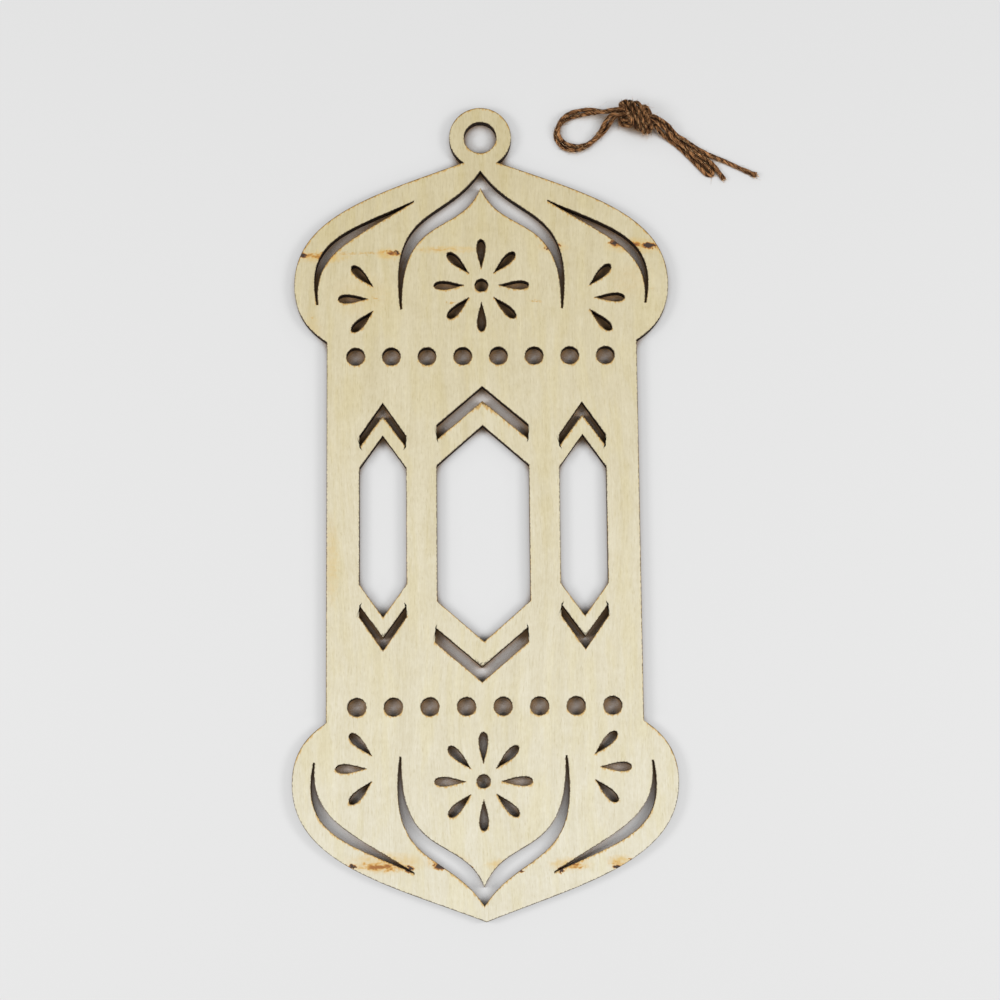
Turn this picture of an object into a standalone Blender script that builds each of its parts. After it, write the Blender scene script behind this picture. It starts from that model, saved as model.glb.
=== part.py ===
"""Hanging ornament: a lantern-shaped panel of laser-cut plywood and its jute twine.

The panel lies flat with its face up, and the knotted twine lies loose beside the hanging
eye, as in a packed craft set.  Metres, +Z up, +X to the right of the face and +Y towards
the eye.  The origin is under the middle of the panel, on the surface it lies on.
"""

import math

import bmesh
import bpy
import numpy as np
from mathutils import Vector

MM = 0.001

# Overall size of the panel, as printed beside it in the photograph
PANEL_HEIGHT = 185.0 * MM
PANEL_WIDTH = 85.0 * MM
PANEL_THICKNESS = 2.4 * MM
GLUE_GAP = 0.3 * MM
PLY_COUNT = 3
PLY_THICKNESS = (PANEL_THICKNESS - (PLY_COUNT - 1) * GLUE_GAP) / PLY_COUNT

# The drawing is worked in millimetres from the middle of the body, where its upper and
# lower halves mirror each other.  The hanging eye makes the upper half longer.
LOWER_TIP = 86.7
BODY_MIDDLE = LOWER_TIP * MM - PANEL_HEIGHT / 2

HALF_WIDTH = PANEL_WIDTH / 2 / MM
BODY_HALF_WIDTH = 35.05
BODY_HALF_HEIGHT = 43.15
BULGE_HEIGHT = 56.4
SHOULDER = [(0.0, LOWER_TIP), (21.3, 78.5), (HALF_WIDTH, 73.8), (HALF_WIDTH, BULGE_HEIGHT)]
UNDERCUT = [(HALF_WIDTH, BULGE_HEIGHT), (HALF_WIDTH, 50.3), (39.85, 46.2),
            (BODY_HALF_WIDTH, BODY_HALF_HEIGHT)]
SHOULDER_STEPS = 12
UNDERCUT_STEPS = 6

EYE_RADIUS = 7.1
EYE_HOLE_RADIUS = 3.7
EYE_HEIGHT = PANEL_HEIGHT / MM - LOWER_TIP - EYE_RADIUS
NECK_HEIGHT = 85.2
EYE_STEPS = 24
EYE_HOLE_STEPS = 18

# Curved slots of the two caps: outer and inner edge, each one Bezier curve.  The cuts of
# the lower cap lie slightly to the left of the outline's middle line.
LOWER_CAP_SHIFT = -0.4
ARCH_OUTER = [(0.0, 83.3), (8.0, 70.9), (21.6, 75.2), (18.4, 50.6)]
ARCH_INNER = [(0.0, 79.2), (4.8, 67.3), (18.6, 74.0), (18.1, 50.7)]
ARCH_STEPS = 13
CRESCENT_OUTER = [(15.2, 76.2), (30.9, 69.0), (40.4, 67.3), (37.4, 51.8)]
CRESCENT_INNER = [(15.4, 75.9), (29.3, 67.0), (38.4, 64.4), (37.1, 51.8)]
CRESCENT_STEPS = 9

# Flowers: eight petals round a dot on the middle line, three petals beside each slot
FLOWER_HEIGHT = 56.2
FLOWER_DOT_RADIUS = 1.5
FLOWER_DOT_STEPS = 10
HALF_FLOWER_OFFSET = 21.75
HALF_FLOWER_HEIGHT = 53.2
PETAL_START = 4.0
PETAL_END = 10.8
PETAL_HALF_WIDTH = 1.0
PETAL_TAPER = 1.5
PETAL_STEPS = 7

DOT_ROW_HEIGHT = 39.7
DOT_SPACING = 8.07
DOT_RADIUS = 2.05
DOTS_IN_ROW = 8
UPPER_DOTS_SHIFT = -0.3
DOT_STEPS = 12

# Windows: half width, then heights above the window's own middle
CENTRE_WINDOW = {"x": 0.0, "y": -0.85, "half_width": 10.35, "shoulder": 15.4, "apex": 24.5,
                 "chevron_inner": (21.25, 30.1), "chevron_outer": (24.6, 33.5),
                 "lower_chevron_shift": -0.5}
SIDE_WINDOW = {"x": 22.45, "y": 0.85, "half_width": 5.25, "shoulder": 13.2, "apex": 20.6,
               "chevron_inner": (17.9, 25.1), "chevron_outer": (20.5, 28.1),
               "lower_chevron_shift": 0.0}

PLIES = (("back_veneer", (0.72, 0.62, 0.42, 1.0)),
         ("core_veneer", (0.60, 0.47, 0.28, 1.0)),
         ("front_veneer", (0.76, 0.68, 0.47, 1.0)))
WOOD_ROUGHNESS = 0.62

# Twine: one length, doubled, folded once more and tied with one overhand knot.  Its route
# is worked on the panel's drawing too, with heights above the surface.  It is drawn a
# little thinner than the real 1 mm, so that its turns stay clear of each other.
TWINE_DIAMETER = 0.76
TWINE_COLOUR = (0.22, 0.115, 0.055, 1.0)
TWINE_ROUGHNESS = 0.9
TWINE_STEPS = 260

# The knot, in strand pitches: each key point holds the distance along the knot, across it
# and above the surface, the bundle's roll in degrees, and how far its two by two strands
# are spread into a flat band.  The keys run from the middle of the band that lies over
# the knot to where the strands leave on the right.  The left half is a half turn of it.
KNOT_PITCH = 1.28
KNOT_CENTRE = (35.9, 95.8)
KNOT_TILT = math.radians(-14.0)
KNOT_HALF = [(0.0, 0.0, 4.9, 0, 1.0),
             (-1.6, 1.6, 4.6, 15, 1.0),
             (-2.8, 2.3, 2.6, 45, 0.55),
             (-2.8, 1.4, 1.2, 50, 0.1),
             (-2.7, 0.1, 1.0, 55, 0.0),
             (-2.5, -1.3, 1.2, 50, 0.0),
             (-1.7, -2.0, 2.3, 50, 0.0),
             (-0.7, -1.6, 3.2, 45, 0.0),
             (0.8, -0.8, 2.9, 45, 0.0),
             (1.9, -0.2, 3.1, 40, 0.0),
             (4.0, 0.3, 3.0, 35, 0.0),
             (4.9, 0.1, 1.5, 30, 0.0)]
KNOT_STEPS = 44

# Middle line of the hanging loop, and the roll of its two strands round it from the upper
# leg to the lower one
LOOP_KEYS = [(28.2, 97.6, 1.6), (26.2, 98.4, 1.45), (23.5, 98.0, 1.08), (20.5, 97.0, 1.08),
             (18.2, 94.4, 1.08), (18.1, 91.2, 1.08), (20.2, 89.2, 1.08), (23.5, 89.1, 1.08),
             (26.3, 90.9, 1.15), (28.2, 92.8, 1.5), (29.3, 94.5, 2.0)]
LOOP_ROLL = (math.radians(110), math.radians(520))
LOOP_STEPS = 22

# Right of the knot, the two free ends and the folded bight lie along a slanting line.
# Each key holds the distance along the slant, across it and above the surface.
SLANT = math.radians(-36.87)
LONG_END = [(1.4, 103.9, 0.44), (-3.4, 102.9, 0.44), (-7.0, 102.2, 0.44), (-10.0, 101.6, 0.44),
            (-13.0, 101.3, 0.44), (-17.5, 101.4, 0.5), (-19.6, 101.6, 0.95),
            (-21.4, 101.8, 2.1)]
BIGHT = [(-21.2, 99.9, 2.6), (-19.3, 99.4, 1.9), (-16.5, 99.3, 1.56), (-14.2, 99.15, 1.4),
         (-12.4, 98.9, 0.9), (-10.8, 98.8, 0.46), (-9.2, 98.7, 0.44), (-7.8, 98.5, 0.44),
         (-7.1, 97.9, 0.44), (-7.7, 97.3, 0.44), (-9.2, 97.2, 0.44), (-12.0, 97.6, 0.44),
         (-15.0, 98.1, 0.44), (-18.5, 98.5, 0.45), (-20.8, 98.6, 0.75), (-22.4, 98.8, 1.6)]
SHORT_END = [(-22.5, 100.7, 1.6), (-21.0, 100.3, 0.75), (-19.0, 100.05, 0.45),
             (-14.0, 100.0, 0.44), (-11.0, 100.15, 0.44), (-8.5, 100.1, 0.44),
             (-6.2, 99.5, 0.44), (-4.0, 98.7, 0.44)]


def bezier(points, steps):
    """Points along one cubic Bezier curve, both ends included."""
    p0, p1, p2, p3 = (Vector(point) for point in points)
    curve = []
    for step in range(steps + 1):
        t = step / steps
        u = 1.0 - t
        curve.append(u ** 3 * p0 + 3 * u * u * t * p1 + 3 * u * t * t * p2 + t ** 3 * p3)
    return [(point.x, point.y) for point in curve]


def circle(centre_x, centre_y, radius, steps):
    turn = 2 * math.pi / steps
    return [(centre_x + radius * math.cos((i + 0.5) * turn),
             centre_y + radius * math.sin((i + 0.5) * turn)) for i in range(steps)]


def mirror_x(loop):
    return [(-x, y) for x, y in loop]


def mirror_y(loop):
    return [(x, -y) for x, y in loop]


def shift_x(loop, distance):
    return [(x + distance, y) for x, y in loop]


def panel_outline():
    """The lantern's outline with its eye, anticlockwise from the lower tip."""
    shoulder = bezier(SHOULDER, SHOULDER_STEPS)
    undercut = bezier(UNDERCUT, UNDERCUT_STEPS)
    quarter = shoulder + undercut[1:]
    lower_right = mirror_y(quarter)
    upper_right = quarter[::-1]

    # the upper shoulder stops where it meets the eye's ring
    def outside_eye(point):
        return math.hypot(point[0], point[1] - EYE_HEIGHT) > EYE_RADIUS

    upper_right = [point for point in upper_right if outside_eye(point)]
    neck_angle = -math.asin((EYE_HEIGHT - NECK_HEIGHT) / EYE_RADIUS)
    ring = []
    sweep = math.pi - 2 * neck_angle
    for step in range(EYE_STEPS + 1):
        angle = neck_angle + sweep * step / EYE_STEPS
        ring.append((EYE_RADIUS * math.cos(angle), EYE_HEIGHT + EYE_RADIUS * math.sin(angle)))
    right = lower_right + upper_right
    left = mirror_x(right[1:])[::-1]
    return right + ring + left


def slot(outer, inner, steps):
    """A slot between two curves that meet at their ends."""
    there = bezier(outer, steps)
    back = bezier(inner, steps)[::-1]
    return there + back


def arch_slot():
    """The pointed arch of a cap: its two halves are one opening through the apex."""
    outer = bezier(ARCH_OUTER, ARCH_STEPS)
    inner = bezier(ARCH_INNER, ARCH_STEPS)
    right = outer[::-1]
    left = mirror_x(outer)[1:]
    return right + left + mirror_x(inner)[::-1] + inner[1:]


def petal(centre_x, centre_y, angle):
    """A teardrop that points at the flower's middle."""
    length = PETAL_END - PETAL_START
    profile = []
    for step in range(PETAL_STEPS + 1):
        t = math.pi * step / PETAL_STEPS
        profile.append((PETAL_START + length * (1 - math.cos(t)) / 2,
                        math.sin(t) * math.sin(t / 2) ** PETAL_TAPER))
    widest = max(height for _, height in profile)
    upper = [(x, PETAL_HALF_WIDTH * height / widest) for x, height in profile]
    lower = [(x, -y) for x, y in upper[1:-1]][::-1]
    cos_a, sin_a = math.cos(angle), math.sin(angle)
    return [(centre_x + x * cos_a - y * sin_a, centre_y + x * sin_a + y * cos_a)
            for x, y in upper + lower]


def window_cuts(window):
    """One window and the chevrons over and under it."""
    x, y, half = window["x"], window["y"], window["half_width"]
    opening = [(half, -window["shoulder"]), (half, window["shoulder"]), (0.0, window["apex"]),
               (-half, window["shoulder"]), (-half, -window["shoulder"]),
               (0.0, -window["apex"])]
    inner_end, inner_apex = window["chevron_inner"]
    outer_end, outer_apex = window["chevron_outer"]
    chevron = [(half, inner_end), (half, outer_end), (0.0, outer_apex),
               (-half, outer_end), (-half, inner_end), (0.0, inner_apex)]
    lower_chevron = shift_x(mirror_y(chevron), window["lower_chevron_shift"])
    loops = [opening, chevron, lower_chevron]
    return [[(x + px, y + py) for px, py in loop] for loop in loops]


def cap_cuts():
    """The slots and flowers of the upper cap; the lower cap mirrors them."""
    crescent = slot(CRESCENT_OUTER, CRESCENT_INNER, CRESCENT_STEPS)
    cuts = [arch_slot(), crescent, mirror_x(crescent)]
    cuts.append(circle(0.0, FLOWER_HEIGHT, FLOWER_DOT_RADIUS, FLOWER_DOT_STEPS))
    for index in range(8):
        cuts.append(petal(0.0, FLOWER_HEIGHT, index * math.pi / 4))
    for side, outward in ((1, 0.0), (-1, math.pi)):
        for turn in (-1, 0, 1):
            cuts.append(petal(side * HALF_FLOWER_OFFSET, HALF_FLOWER_HEIGHT,
                              outward + turn * math.pi / 4))
    return cuts


def dot_row(height, shift):
    middle = (DOTS_IN_ROW - 1) / 2
    return [circle((index - middle) * DOT_SPACING + shift, height, DOT_RADIUS, DOT_STEPS)
            for index in range(DOTS_IN_ROW)]


def panel_cuts():
    cuts = [circle(0.0, EYE_HEIGHT, EYE_HOLE_RADIUS, EYE_HOLE_STEPS)]
    for cut in cap_cuts():
        cuts.append(cut)
        cuts.append(shift_x(mirror_y(cut), LOWER_CAP_SHIFT))
    cuts.extend(dot_row(DOT_ROW_HEIGHT, UPPER_DOTS_SHIFT))
    cuts.extend(dot_row(-DOT_ROW_HEIGHT, 0.0))
    mirrored_side = dict(SIDE_WINDOW, x=-SIDE_WINDOW["x"])
    for window in (CENTRE_WINDOW, SIDE_WINDOW, mirrored_side):
        cuts.extend(window_cuts(window))
    return cuts


def new_object(name, mesh_or_curve, colour, roughness):
    """Put a shape in the scene with its own material."""
    obj = bpy.data.objects.new(name, mesh_or_curve)
    bpy.context.scene.collection.objects.link(obj)
    material = bpy.data.materials.new(name)
    material.use_nodes = True
    shader = material.node_tree.nodes["Principled BSDF"]
    shader.inputs["Base Color"].default_value = colour
    shader.inputs["Roughness"].default_value = roughness
    shader.inputs["Metallic"].default_value = 0.0
    obj.data.materials.append(material)
    return obj


def make_ply(name, base, colour):
    """One veneer: the whole drawing, filled and given its thickness."""
    bm = bmesh.new()
    edges = []
    for loop in [panel_outline()] + panel_cuts():
        corners = [bm.verts.new((x * MM, y * MM + BODY_MIDDLE, base)) for x, y in loop]
        for index, corner in enumerate(corners):
            edges.append(bm.edges.new((corners[index - 1], corner)))
    filled = bmesh.ops.triangle_fill(bm, use_beauty=True, use_dissolve=False, edges=edges,
                                     normal=(0.0, 0.0, 1.0))
    faces = [item for item in filled["geom"] if isinstance(item, bmesh.types.BMFace)]
    raised = bmesh.ops.extrude_face_region(bm, geom=faces)
    top = [item for item in raised["geom"] if isinstance(item, bmesh.types.BMVert)]
    bmesh.ops.translate(bm, verts=top, vec=(0.0, 0.0, PLY_THICKNESS))
    bmesh.ops.recalc_face_normals(bm, faces=bm.faces[:])
    mesh = bpy.data.meshes.new(name)
    bm.to_mesh(mesh)
    bm.free()
    return new_object(name, mesh, colour, WOOD_ROUGHNESS)


def smooth_curve(keys, count):
    """Points along the natural cubic spline through the key points."""
    keys = np.array(keys, dtype=float)
    chords = np.linalg.norm(np.diff(keys[:, :3], axis=0), axis=1)
    stations = np.concatenate([[0.0], np.cumsum(np.sqrt(chords))])
    gap = np.diff(stations)
    system = np.eye(len(keys))
    change = np.zeros_like(keys)
    for i in range(1, len(keys) - 1):
        system[i, i - 1:i + 2] = (gap[i - 1], 2 * (gap[i - 1] + gap[i]), gap[i])
        change[i] = 6 * ((keys[i + 1] - keys[i]) / gap[i]
                         - (keys[i] - keys[i - 1]) / gap[i - 1])
    bend = np.linalg.solve(system, change)
    along = np.linspace(0.0, stations[-1], count)
    i = np.clip(np.searchsorted(stations, along, side="right") - 1, 0, len(keys) - 2)
    width = gap[i][:, None]
    a = (stations[i + 1] - along)[:, None] / width
    b = 1.0 - a
    return (a * keys[i] + b * keys[i + 1]
            + ((a ** 3 - a) * bend[i] + (b ** 3 - b) * bend[i + 1]) * width ** 2 / 6)


def unit(vectors):
    return vectors / np.linalg.norm(vectors, axis=-1, keepdims=True)


def upright_frame(ahead):
    """A direction square to the path that stands upright at its middle and never twists."""
    up = np.zeros_like(ahead)
    middle = len(ahead) // 2
    up[middle] = (0.0, 0.0, 1.0)
    for i in range(middle + 1, len(ahead)):
        up[i] = unit(up[i - 1] - ahead[i] * np.dot(up[i - 1], ahead[i]))
    for i in range(middle - 1, -1, -1):
        up[i] = unit(up[i + 1] - ahead[i] * np.dot(up[i + 1], ahead[i]))
    return up


def knot_strands():
    """The four strands of the knot, each from its left end to its right end."""
    half = np.array(KNOT_HALF)
    other_half = half[:0:-1] * (-1, -1, 1, -1, 1)
    path = smooth_curve(np.vstack([other_half, half]), KNOT_STEPS)
    middle = path[:, :3]
    cos_roll, sin_roll = np.cos(np.radians(path[:, 3:4])), np.sin(np.radians(path[:, 3:4]))
    ahead = unit(np.gradient(middle, axis=0))
    up = upright_frame(ahead)
    side = np.cross(ahead, up)
    outward = cos_roll * up + sin_roll * side
    across = cos_roll * side - sin_roll * up

    # two strands lie outside the other two, and sink between them as the band spreads
    spread = np.clip(path[:, 4:5], 0.0, 1.0) * math.pi / 2
    lift = np.cos(spread) / 2
    reach = np.sin(spread) + 0.5
    places = [-reach * across - lift * outward, -0.5 * across + lift * outward,
              0.5 * across + lift * outward, reach * across - lift * outward]
    cos_tilt, sin_tilt = math.cos(KNOT_TILT), math.sin(KNOT_TILT)
    tilt = np.array([(cos_tilt, sin_tilt, 0), (-sin_tilt, cos_tilt, 0), (0, 0, 1)])
    strands = [KNOT_PITCH * (middle + place) @ tilt + (*KNOT_CENTRE, 0) for place in places]
    return [strand[1:-1] for strand in strands]


def loop_strands():
    """The two strands of the hanging loop, from its upper leg to its lower one."""
    line = smooth_curve(LOOP_KEYS, LOOP_STEPS)
    ahead = unit(np.gradient(line, axis=0) * (1, 1, 0))
    outward = np.column_stack([ahead[:, 1], -ahead[:, 0], np.zeros(LOOP_STEPS)])
    roll = np.linspace(*LOOP_ROLL, LOOP_STEPS)[:, None]
    reach = KNOT_PITCH / 2 * (np.cos(roll) * outward + np.sin(roll) * (0, 0, 1))
    return line - reach, line + reach


def on_slant(keys):
    """Key points given along and across the slant, on the drawing."""
    cos_a, sin_a = math.cos(SLANT), math.sin(SLANT)
    return [(along * cos_a - across * sin_a, along * sin_a + across * cos_a, height)
            for along, across, height in keys]


def twine_route():
    """The whole twine, from its long free end to its short one."""
    knot = knot_strands()
    lower, upper = loop_strands()
    keys = np.vstack([on_slant(LONG_END), knot[0][::-1], lower[::-1], knot[1],
                      on_slant(BIGHT), knot[2][::-1], upper, knot[3], on_slant(SHORT_END)])
    return smooth_curve(keys, TWINE_STEPS)


def length_along(route):
    steps = np.linalg.norm(np.diff(route, axis=0), axis=1)
    return np.concatenate([[0.0], np.cumsum(steps)])


def least_gap(route):
    """Smallest clear distance between two stretches of the twine that don't adjoin."""
    along = length_along(route)
    apart = np.linalg.norm(route[:, None] - route[None], axis=2)
    adjoining = np.abs(along[:, None] - along[None]) < 3.4 * TWINE_DIAMETER
    return float(np.where(adjoining, np.inf, apart).min()) - TWINE_DIAMETER


def make_twine():
    route = twine_route()
    curve = bpy.data.curves.new("jute_twine", "CURVE")
    curve.dimensions = "3D"
    curve.bevel_depth = TWINE_DIAMETER / 2 * MM
    curve.bevel_resolution = 1
    curve.use_fill_caps = True
    spline = curve.splines.new("POLY")
    spline.points.add(len(route) - 1)
    for point, (x, y, z) in zip(spline.points, route):
        point.co = (x * MM, y * MM + BODY_MIDDLE, z * MM, 1.0)
    print(f"twine length {length_along(route)[-1]:.0f} mm, least gap to itself "
          f"{least_gap(route):.2f} mm")
    return new_object("jute_twine", curve, TWINE_COLOUR, TWINE_ROUGHNESS)


for old in list(bpy.data.objects):
    bpy.data.objects.remove(old)
for layer, (ply_name, ply_colour) in enumerate(PLIES):
    make_ply(ply_name, layer * (PLY_THICKNESS + GLUE_GAP), ply_colour)
make_twine()
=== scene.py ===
# %% [markdown]
# # A laser-cut hanging lantern with its jute twine
#
# The real object is a flat lantern shape, cut by laser from a sheet of thin plywood, with a
# small round eye at its top.  A length of jute twine comes with it, already knotted, to hang
# it by.  This script dresses the measured model of that object, piece by piece, and ends
# with the light, the floor and the camera's picture.

import math
import random

import bpy
import numpy as np
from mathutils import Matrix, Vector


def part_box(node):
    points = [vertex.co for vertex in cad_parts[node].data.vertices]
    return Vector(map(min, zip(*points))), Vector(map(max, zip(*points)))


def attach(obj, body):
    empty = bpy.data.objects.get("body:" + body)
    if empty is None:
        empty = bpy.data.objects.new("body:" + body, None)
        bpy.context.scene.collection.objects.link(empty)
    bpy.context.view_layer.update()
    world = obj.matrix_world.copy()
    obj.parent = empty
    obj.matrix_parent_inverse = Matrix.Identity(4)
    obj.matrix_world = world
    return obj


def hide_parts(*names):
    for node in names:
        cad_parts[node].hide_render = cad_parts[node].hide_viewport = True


MM = 0.001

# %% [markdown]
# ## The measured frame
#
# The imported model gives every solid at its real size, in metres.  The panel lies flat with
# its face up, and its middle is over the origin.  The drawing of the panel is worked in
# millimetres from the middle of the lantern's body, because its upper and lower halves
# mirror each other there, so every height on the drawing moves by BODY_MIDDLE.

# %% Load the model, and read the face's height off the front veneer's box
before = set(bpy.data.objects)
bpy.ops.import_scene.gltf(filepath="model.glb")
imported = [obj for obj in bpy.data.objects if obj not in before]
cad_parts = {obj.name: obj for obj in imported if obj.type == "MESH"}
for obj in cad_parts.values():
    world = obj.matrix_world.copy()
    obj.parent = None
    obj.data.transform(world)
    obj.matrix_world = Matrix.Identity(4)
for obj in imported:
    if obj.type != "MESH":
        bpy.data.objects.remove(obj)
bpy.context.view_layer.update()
BODY_MIDDLE = -5.8 * MM
FACE_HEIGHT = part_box("front_veneer")[1][2]
print("solids:", sorted(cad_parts), "face at", round(FACE_HEIGHT / MM, 2), "mm")

# %% [markdown]
# ## The camera
#
# The camera comes first, because the loose twine has to lie where the camera sees it.  Its
# place was worked out from the lantern's outline in the photograph: it hangs over the lower
# half, tilted about ten degrees, so the upper walls of the cuts just show.

# %% Camera
CAMERA_PLACE = (-1.207 * MM, -101.787 * MM, 566.922 * MM)
CAMERA_TURN = [math.radians(angle) for angle in (10.2956, -0.4063, -0.5467)]
LENS_MM = 92.264
SENSOR_MM = 36.0

bpy.ops.object.camera_add(location=CAMERA_PLACE, rotation=CAMERA_TURN)
camera = bpy.context.object
camera.name = "camera"
camera.data.sensor_width = SENSOR_MM
camera.data.lens = LENS_MM
camera.data.clip_start = 0.01
bpy.context.scene.camera = camera
print("camera at", [round(value, 3) for value in camera.location], "lens", LENS_MM, "mm")

# %% [markdown]
# ## The twine's route
#
# The twine is one piece.  It is doubled, folded once more, and tied near the fold with one
# overhand knot, so four strands pass through the knot.  On its left is the loop that goes
# through the eye, and on its right are two free ends and a short bight.  A cord keeps its
# length, so its route is settled first, as one smooth curve through key points, and the
# fibre is wound along it afterwards.  The knot's bundle is worked once, for its right half:
# the left half is the same one, turned by half a turn.

# %% The twine's sizes and the keys of its route, in millimetres on the drawing
TWINE_DIAMETER = 1.02
KNOT_PITCH = 1.09
KNOT_CENTRE = (35.9, 95.8)
KNOT_TILT = math.radians(-17.0)
# along, across and height in strand pitches, roll in degrees, and spread into a flat band
KNOT_HALF = [(0.0, 0.0, 4.9, 0, 1.0), (-1.6, 1.6, 4.6, 15, 1.0), (-2.8, 2.3, 2.6, 45, 0.55),
             (-2.8, 1.4, 1.2, 50, 0.1), (-2.7, 0.1, 1.0, 55, 0.0), (-2.4, -1.15, 1.2, 50, 0.0),
             (-1.5, -1.9, 2.3, 50, 0.0), (-0.7, -1.6, 3.2, 45, 0.0), (0.8, -0.8, 2.9, 45, 0.0),
             (1.9, -0.2, 3.1, 40, 0.0), (4.0, 0.3, 3.0, 35, 0.0), (4.9, 0.1, 1.5, 30, 0.0)]
KNOT_STEPS = 44

LOOP_KEYS = [(28.2, 97.45, 1.6), (26.2, 97.65, 1.45), (23.5, 97.45, 1.1), (20.5, 96.6, 1.1),
             (18.1, 94.3, 1.1), (17.95, 91.2, 1.1), (20.2, 89.2, 1.1), (23.5, 89.1, 1.1),
             (26.3, 90.9, 1.15), (28.2, 92.8, 1.5), (29.3, 94.5, 2.0)]
LOOP_ROLL = (math.radians(110), math.radians(520))
LOOP_STEPS = 22

# the free ends and the bight lie along a slanting line: along it, across it, height
SLANT = math.radians(-36.87)
SLANT_LIFT = 0.1
LONG_END = [(1.4, 103.9, 0.44), (-3.4, 102.9, 0.44), (-7.0, 102.2, 0.44), (-10.0, 101.5, 0.44),
            (-13.0, 101.0, 0.5), (-15.0, 100.95, 0.8), (-17.0, 100.75, 1.1),
            (-19.4, 100.6, 1.5), (-21.4, 101.0, 2.2)]
BIGHT = [(-21.2, 99.9, 2.6), (-19.3, 99.4, 1.9), (-16.5, 99.3, 1.56), (-14.2, 99.15, 1.4),
         (-12.4, 98.9, 0.9), (-10.8, 98.8, 0.46), (-9.2, 98.75, 0.44), (-7.6, 98.7, 0.44),
         (-6.6, 98.0, 0.44), (-7.6, 97.3, 0.44), (-9.2, 97.5, 0.44), (-12.0, 98.0, 0.44),
         (-15.0, 98.6, 0.44), (-18.5, 98.9, 0.45), (-20.8, 98.9, 0.75), (-22.4, 98.9, 1.6)]
SHORT_END = [(-22.5, 100.7, 1.6), (-21.0, 100.3, 0.75), (-19.0, 100.05, 0.45),
             (-14.0, 100.0, 0.44), (-11.0, 100.15, 0.44), (-8.5, 100.1, 0.44),
             (-6.2, 99.5, 0.44), (-4.0, 98.7, 0.44)]
ROUTE_STEPS = 1600


# %% A smooth curve through key points
def unit(vectors):
    return vectors / np.linalg.norm(vectors, axis=-1, keepdims=True)


def smooth_curve(keys, count):
    """Points along the natural cubic spline through the key points."""
    keys = np.array(keys, dtype=float)
    chords = np.linalg.norm(np.diff(keys[:, :3], axis=0), axis=1)
    stations = np.concatenate([[0.0], np.cumsum(np.sqrt(chords))])
    gap = np.diff(stations)
    system = np.eye(len(keys))
    change = np.zeros_like(keys)
    for i in range(1, len(keys) - 1):
        system[i, i - 1:i + 2] = (gap[i - 1], 2 * (gap[i - 1] + gap[i]), gap[i])
        change[i] = 6 * ((keys[i + 1] - keys[i]) / gap[i]
                         - (keys[i] - keys[i - 1]) / gap[i - 1])
    bend = np.linalg.solve(system, change)
    along = np.linspace(0.0, stations[-1], count)
    i = np.clip(np.searchsorted(stations, along, side="right") - 1, 0, len(keys) - 2)
    width = gap[i][:, None]
    a = (stations[i + 1] - along)[:, None] / width
    b = 1.0 - a
    return (a * keys[i] + b * keys[i + 1]
            + ((a ** 3 - a) * bend[i] + (b ** 3 - b) * bend[i + 1]) * width ** 2 / 6)


def length_along(route):
    steps = np.linalg.norm(np.diff(route, axis=0), axis=1)
    return np.concatenate([[0.0], np.cumsum(steps)])


def evenly_spaced(route, step):
    """The same route with its points an even step apart."""
    along = length_along(route)
    stations = np.linspace(0.0, along[-1], int(round(along[-1] / step)) + 1)
    return np.column_stack([np.interp(stations, along, route[:, axis]) for axis in range(3)])


# %% Directions that are carried along a path without twisting
def carried_frame(ahead, start, first):
    """A direction square to the path, equal to the first one at the start point."""
    up = np.zeros_like(ahead)
    up[start] = unit(np.array(first) - ahead[start] * np.dot(first, ahead[start]))
    for i in range(start + 1, len(ahead)):
        up[i] = unit(up[i - 1] - ahead[i] * np.dot(up[i - 1], ahead[i]))
    for i in range(start - 1, -1, -1):
        up[i] = unit(up[i + 1] - ahead[i] * np.dot(up[i + 1], ahead[i]))
    return up


# %% The four strands of the knot, and the two of the hanging loop
def knot_strands():
    """Each strand of the knot, from its left end to its right end."""
    half = np.array(KNOT_HALF)
    other_half = half[:0:-1] * (-1, -1, 1, -1, 1)
    path = smooth_curve(np.vstack([other_half, half]), KNOT_STEPS)
    middle = path[:, :3]
    cos_roll, sin_roll = np.cos(np.radians(path[:, 3:4])), np.sin(np.radians(path[:, 3:4]))
    ahead = unit(np.gradient(middle, axis=0))
    up = carried_frame(ahead, len(ahead) // 2, (0.0, 0.0, 1.0))
    side = np.cross(ahead, up)
    outward = cos_roll * up + sin_roll * side
    across = cos_roll * side - sin_roll * up

    # two strands lie outside the other two, and sink between them as the band spreads
    spread = np.clip(path[:, 4:5], 0.0, 1.0) * math.pi / 2
    lift = np.cos(spread) / 2
    reach = np.sin(spread) + 0.5
    places = [-reach * across - lift * outward, -0.5 * across + lift * outward,
              0.5 * across + lift * outward, reach * across - lift * outward]
    cos_tilt, sin_tilt = math.cos(KNOT_TILT), math.sin(KNOT_TILT)
    tilt = np.array([(cos_tilt, sin_tilt, 0), (-sin_tilt, cos_tilt, 0), (0, 0, 1)])
    strands = [KNOT_PITCH * (middle + place) @ tilt + (*KNOT_CENTRE, 0) for place in places]
    return [strand[1:-1] for strand in strands]


def loop_strands():
    """The two strands of the hanging loop, from its upper leg to its lower one."""
    line = smooth_curve(LOOP_KEYS, LOOP_STEPS)
    ahead = unit(np.gradient(line, axis=0) * (1, 1, 0))
    outward = np.column_stack([ahead[:, 1], -ahead[:, 0], np.zeros(LOOP_STEPS)])
    roll = np.linspace(*LOOP_ROLL, LOOP_STEPS)[:, None]
    reach = KNOT_PITCH / 2 * (np.cos(roll) * outward + np.sin(roll) * (0, 0, 1))
    return line - reach, line + reach


# %% The whole route, from the long free end to the short one
def on_slant(keys):
    """Key points given along and across the slant, on the drawing."""
    cos_a, sin_a = math.cos(SLANT), math.sin(SLANT)
    return [(along * cos_a - across * sin_a, along * sin_a + across * cos_a,
             height + SLANT_LIFT) for along, across, height in keys]


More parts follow.
